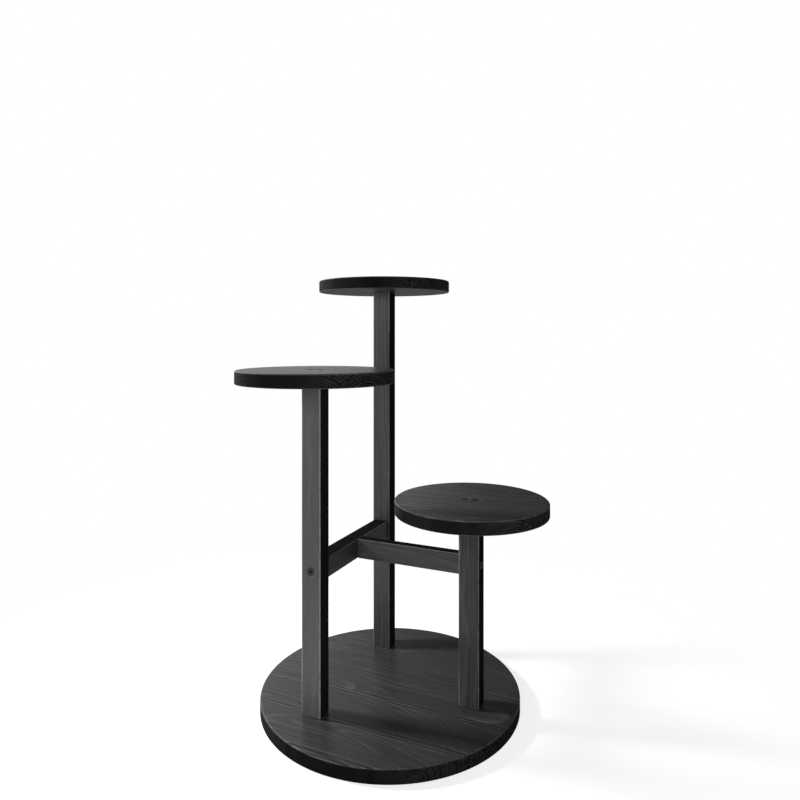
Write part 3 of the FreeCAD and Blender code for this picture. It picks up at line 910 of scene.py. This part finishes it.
def screw_points(name, nodes):
    """A mesh with one point for each screw of these groups, which knows the way it is driven."""
    spots = [(spot, SCREW_WAYS[node]) for node in nodes for spot in screw_heads(node)]
    mesh = bpy.data.meshes.new(name)
    mesh.from_pydata([spot for spot, _ in spots], [], [])
    ways = mesh.attributes.new("way", "FLOAT_VECTOR", "POINT")
    for point, (_, way) in enumerate(spots):
        ways.data[point].vector = way
    return mesh


def make_piece(name, tree, screws, values, smooth_below):
    """Runs a tree on the screw points and leaves a plain mesh."""
    piece = bpy.data.objects.new(name, screw_points(name, screws))
    bpy.context.scene.collection.objects.link(piece)
    modifier = piece.modifiers.new("shape", "NODES")
    modifier.node_group = tree
    left = dict(values)
    for item in tree.interface.items_tree:
        if item.in_out == "INPUT" and item.name in left:
            modifier[item.identifier] = left.pop(item.name)
    if left:
        raise RuntimeError(f"{tree.name} has no input {sorted(left)}")
    graph = bpy.context.evaluated_depsgraph_get()
    mesh = bpy.data.meshes.new_from_object(piece.evaluated_get(graph))
    if not mesh.polygons:
        raise RuntimeError(f"{name} came out empty")
    piece.modifiers.remove(modifier)
    piece.data = mesh
    mesh.name = name
    mesh.set_sharp_from_angle(angle=math.radians(smooth_below))
    return piece


def hole_values():
    """The sizes of the holes, by the names of the trees' inputs."""
    sizes = bpy.context.scene.stand_screws
    return {"Countersink": sizes.sink, "Hole": sizes.hole, "Recess": sizes.recess,
            "Hole Depth": sizes.length + sizes.spare}


def use_tree(title, make):
    """The tree of this title, made the first time it is asked for."""
    return bpy.data.node_groups.get(title) or make()


def dress(piece, node):
    """The piece stands for the node, which is hidden, and hangs from the root."""
    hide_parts(node)
    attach(piece, "root")


def wooden_piece(node, tree, values):
    """Makes the wooden piece that stands for a node, with its finish and its screw holes."""
    values = {**values, **hole_values()}
    dress(make_piece(node + "_wood", tree, HOLES[node], values, WOOD_SMOOTH_BELOW), node)


def round_board(node):
    """Makes the round board that stands for a node."""
    low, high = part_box(node)
    sizes = bpy.context.scene.stand_boards
    middle = (low + high) / 2
    values = {
        "Place": (middle.x, middle.y, low.z), "Radius": round((high.x - low.x) / 2, BOX_DIGITS),
        "Thickness": high.z - low.z, "Top Round": sizes.top_round,
        "Underside Round": sizes.underside_round, "Rim Steps": sizes.rim_steps,
        "Sanding": sizes.sanding, "Finish": pine(WOODS[node]),
    }
    wooden_piece(node, use_tree("round board", round_board_tree), values)


def squared_bar(node, edge_round):
    """Makes the squared bar that stands for a node."""
    low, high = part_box(node)
    values = {"Place": tuple((low + high) / 2), "Size": tuple(high - low), "Edge Round": edge_round,
              "Finish": pine(WOODS[node])}
    wooden_piece(node, use_tree("squared bar", squared_bar_tree), values)


class StandBaseBoard(bpy.types.Operator):
    """Makes the round base board"""

    bl_idname = "plant_stand.base_board"
    bl_label = "Base Board"

    def execute(self, context):
        round_board("base_board")
        return {"FINISHED"}


class StandTrays(bpy.types.Operator):
    """Makes the three round trays"""

    bl_idname = "plant_stand.trays"
    bl_label = "Trays"

    def execute(self, context):
        for node in ("middle_tray", "top_tray", "low_tray"):
            round_board(node)
        return {"FINISHED"}


class StandPosts(bpy.types.Operator):
    """Makes the three posts"""

    bl_idname = "plant_stand.posts"
    bl_label = "Posts"

    def execute(self, context):
        for node in ("front_post", "rear_post", "side_post"):
            squared_bar(node, context.scene.stand_boards.post_round)
        return {"FINISHED"}


class StandStretchers(bpy.types.Operator):
    """Makes the two stretchers"""

    bl_idname = "plant_stand.stretchers"
    bl_label = "Stretchers"

    def execute(self, context):
        for node in ("long_stretcher", "short_stretcher"):
            squared_bar(node, context.scene.stand_boards.stretcher_round)
        return {"FINISHED"}


class StandScrewsMaker(bpy.types.Operator):
    """Makes the screws of every joint"""

    bl_idname = "plant_stand.screws"
    bl_label = "Screws"

    def execute(self, context):
        sizes = context.scene.stand_screws
        values = {
            "Length": sizes.length, "Thread": sizes.thread, "Core": sizes.core, "Neck": sizes.neck,
            "Tip": sizes.tip, "Pitch": sizes.pitch, "Head": sizes.head, "Land": sizes.land,
            "Key": sizes.key, "Key Depth": sizes.key_depth, "Finish": blackened_steel(),
        }
        tree = use_tree("countersunk screw", screw_tree)
        for node in SCREW_WAYS:
            piece = make_piece(node + "_steel", tree, [node], values, STEEL_SMOOTH_BELOW)
            dress(piece, node)
        return {"FINISHED"}


# ---------------------------------------------------------------- studio


# Where each lamp stands about the middle of the stand: its bearing, anticlockwise from +X as seen from
# above, its height as an angle, both in degrees, its distance and its width, both in metres.
LAMPS = {
    "key": (196.0, 28.0, 0.8, 0.12),
    "front": (280.0, 2.0, 2.4, 1.2),
    "rear": (60.0, 3.0, 2.0, 1.2),
    "top": (0.0, 88.0, 1.1, 0.4),
}
STAND_MIDDLE = Vector((0.0, 0.0, 0.22))
# The floor is a disc just under the stand, which fades into the room between two distances. The glow
# that the camera sees, with the lamps' light, makes it white.
FLOOR_SIDES = 96
FLOOR_RADIUS = 1.0
FLOOR_HEIGHT = -0.0002
FLOOR_FADE = (0.30, 0.75)
FLOOR_GLOW = 0.78
# The bright panel that gloss shows: where its foot and head fade, by the rise of the view, and where
# its right edge does, then how bright the room is, its left side above that, and the panel above both.
PANEL_FOOT = (-0.10, 0.50)
PANEL_HEAD = (0.60, 0.90)
PANEL_EDGE = (0.32, 0.46)
ROOM_GLOSS = 0.04
LEFT_GLOSS = 0.12
PANEL_GLOSS = 0.84
CAMERA_PLACE = (0.38291, -0.81073, 0.49811)
CAMERA_TURN = (90.0, 0.0, 24.444)
CAMERA_SHIFT = -0.0816
SENSOR_WIDTH = 36.0


def area_lamp(name, power):
    """A square lamp that points at the middle of the stand. Gloss shows the white room in its place."""
    bearing, rise, distance, width = LAMPS[name]
    bearing, rise = math.radians(bearing), math.radians(rise)
    level = math.cos(rise)
    way = Vector((level * math.cos(bearing), level * math.sin(bearing), math.sin(rise)))
    lamp = bpy.data.lights.new(name, "AREA")
    lamp.shape = "SQUARE"
    lamp.size = width
    lamp.energy = power
    thing = bpy.data.objects.new(name, lamp)
    bpy.context.scene.collection.objects.link(thing)
    thing.location = STAND_MIDDLE + way * distance
    thing.rotation_euler = way.to_track_quat("Z", "Y").to_euler()
    thing.visible_camera = False
    thing.visible_glossy = False


def pale_floor(colour):
    """A pale floor that fades into the white room and keeps the stand's shadow."""
    finish, bench = new_finish("pale floor")
    seen = bench.add("ShaderNodeLightPath")["Is Camera Ray"]
    place = bench.add("ShaderNodeTexCoord")["Object"]
    x, y, _ = bench.split(place)
    far = bench.ramp(bench.call("SQRT", x * x + y * y), *FLOOR_FADE)
    matt = bench.add("ShaderNodeBsdfDiffuse", values={"Color": (*colour, 1.0)})["BSDF"]
    glow = bench.add("ShaderNodeEmission", values={"Strength": FLOOR_GLOW * seen})["Emission"]
    lit = bench.add("ShaderNodeAddShader", values={0: matt, 1: glow})["Shader"]
    clear = bench.add("ShaderNodeBsdfTransparent")["BSDF"]
    floor = bench.add("ShaderNodeMixShader", values={0: far, 1: lit, 2: clear})["Shader"]
    bench.add("ShaderNodeOutputMaterial", values={"Surface": floor})
    return finish


def white_room(strength):
    """White to the camera and through glass.

    To gloss it has a bright tall panel on the left and is dark on the right, as the satin faces show it.
    To the matt light it is half as strong in front on the right as behind on the left.
    """
    world = bpy.data.worlds.new("white room")
    bpy.context.scene.world = world
    world.use_nodes = True
    world.node_tree.nodes.clear()
    bench = Bench(world.node_tree)
    path = bench.add("ShaderNodeLightPath")
    x, y, z = bench.split(bench.add("ShaderNodeTexCoord")["Generated"])
    tall = bench.ramp(z, *PANEL_FOOT) * (1.0 - bench.ramp(z, *PANEL_HEAD))
    left = bench.ramp(0.10 - x - z * 0.4, *PANEL_EDGE)
    gloss = ROOM_GLOSS + left * (LEFT_GLOSS + tall * PANEL_GLOSS)
    soft = strength * (0.5 + 0.5 * bench.ramp(y * 0.6 - x * 0.8, -0.5, 0.8))
    plain = bench.call("MAXIMUM", path["Is Camera Ray"], path["Is Transmission Ray"])
    level = bench.mix(path["Is Glossy Ray"], soft, gloss)
    level = bench.mix(plain, level, 1.0)
    values = {"Color": (1.0, 1.0, 1.0, 1.0), "Strength": level}
    sky = bench.add("ShaderNodeBackground", values=values)["Background"]
    bench.add("ShaderNodeOutputWorld", values={"Surface": sky})


def make_floor(colour):
    """The round floor under the stand."""
    steps = [i * math.tau / FLOOR_SIDES for i in range(FLOOR_SIDES)]
    ring = [(FLOOR_RADIUS * math.cos(turn), FLOOR_RADIUS * math.sin(turn), FLOOR_HEIGHT) for turn in steps]
    mesh = bpy.data.meshes.new("floor")
    mesh.from_pydata(ring, [], [list(range(FLOOR_SIDES))])
    mesh.materials.append(pale_floor(colour))
    floor = bpy.data.objects.new("floor", mesh)
    bpy.context.scene.collection.objects.link(floor)


def make_camera(lens):
    """The camera, level and upright, where the photograph was taken from."""
    camera = bpy.data.cameras.new("camera")
    camera.sensor_width = SENSOR_WIDTH
    camera.sensor_fit = "HORIZONTAL"
    camera.lens = lens
    camera.shift_y = CAMERA_SHIFT
    camera.clip_start = 10 * MM
    thing = bpy.data.objects.new("camera", camera)
    bpy.context.scene.collection.objects.link(thing)
    thing.location = CAMERA_PLACE
    thing.rotation_euler = [math.radians(turn) for turn in CAMERA_TURN]
    bpy.context.scene.camera = thing


class StandStage(bpy.types.Operator):
    """Makes the floor, the lamps, the room and the camera"""

    bl_idname = "plant_stand.stage"
    bl_label = "Studio"

    def execute(self, context):
        studio = context.scene.stand_studio
        make_floor(studio.floor)
        white_room(studio.room)
        for name in LAMPS:
            area_lamp(name, getattr(studio, name + "_power"))
        make_camera(studio.lens)
        context.scene.view_settings.view_transform = "Standard"
        return {"FINISHED"}


class StandPanel(bpy.types.Panel):
    """Lists the steps that make the stand"""

    bl_idname = "VIEW3D_PT_plant_stand"
    bl_label = "Plant Stand"
    bl_space_type = "VIEW_3D"
    bl_region_type = "UI"
    bl_category = "Plant Stand"

    def draw(self, context):
        """The steps' buttons, then every setting in boxes."""
        for step in STEPS:
            self.layout.operator(step.bl_idname)
        for group in GROUPS:
            box = self.layout.box()
            settings = getattr(context.scene, group)
            for name in settings.__annotations__:
                box.prop(settings, name)


STEPS = (StandBaseBoard, StandTrays, StandPosts, StandStretchers, StandScrewsMaker, StandStage)
GROUPS = {
    "stand_boards": StandBoards,
    "stand_screws": StandScrews,
    "stand_finish": StandFinish,
    "stand_studio": StandStudio,
}


def register():
    """Adds the settings, the steps and the panel."""
    for group, kind in GROUPS.items():
        bpy.utils.register_class(kind)
        setattr(bpy.types.Scene, group, PointerProperty(type=kind))
    for kind in (*STEPS, StandPanel):
        bpy.utils.register_class(kind)


def unregister():
    """Takes away what register added."""
    for kind in (StandPanel, *reversed(STEPS)):
        bpy.utils.unregister_class(kind)
    for group, kind in GROUPS.items():
        delattr(bpy.types.Scene, group)
        bpy.utils.unregister_class(kind)


def main():
    """Makes the whole stand and its studio."""
    register()
    for step in STEPS:
        family, action = step.bl_idname.split(".")
        getattr(getattr(bpy.ops, family), action)()


if __name__ == "__main__":
    main()
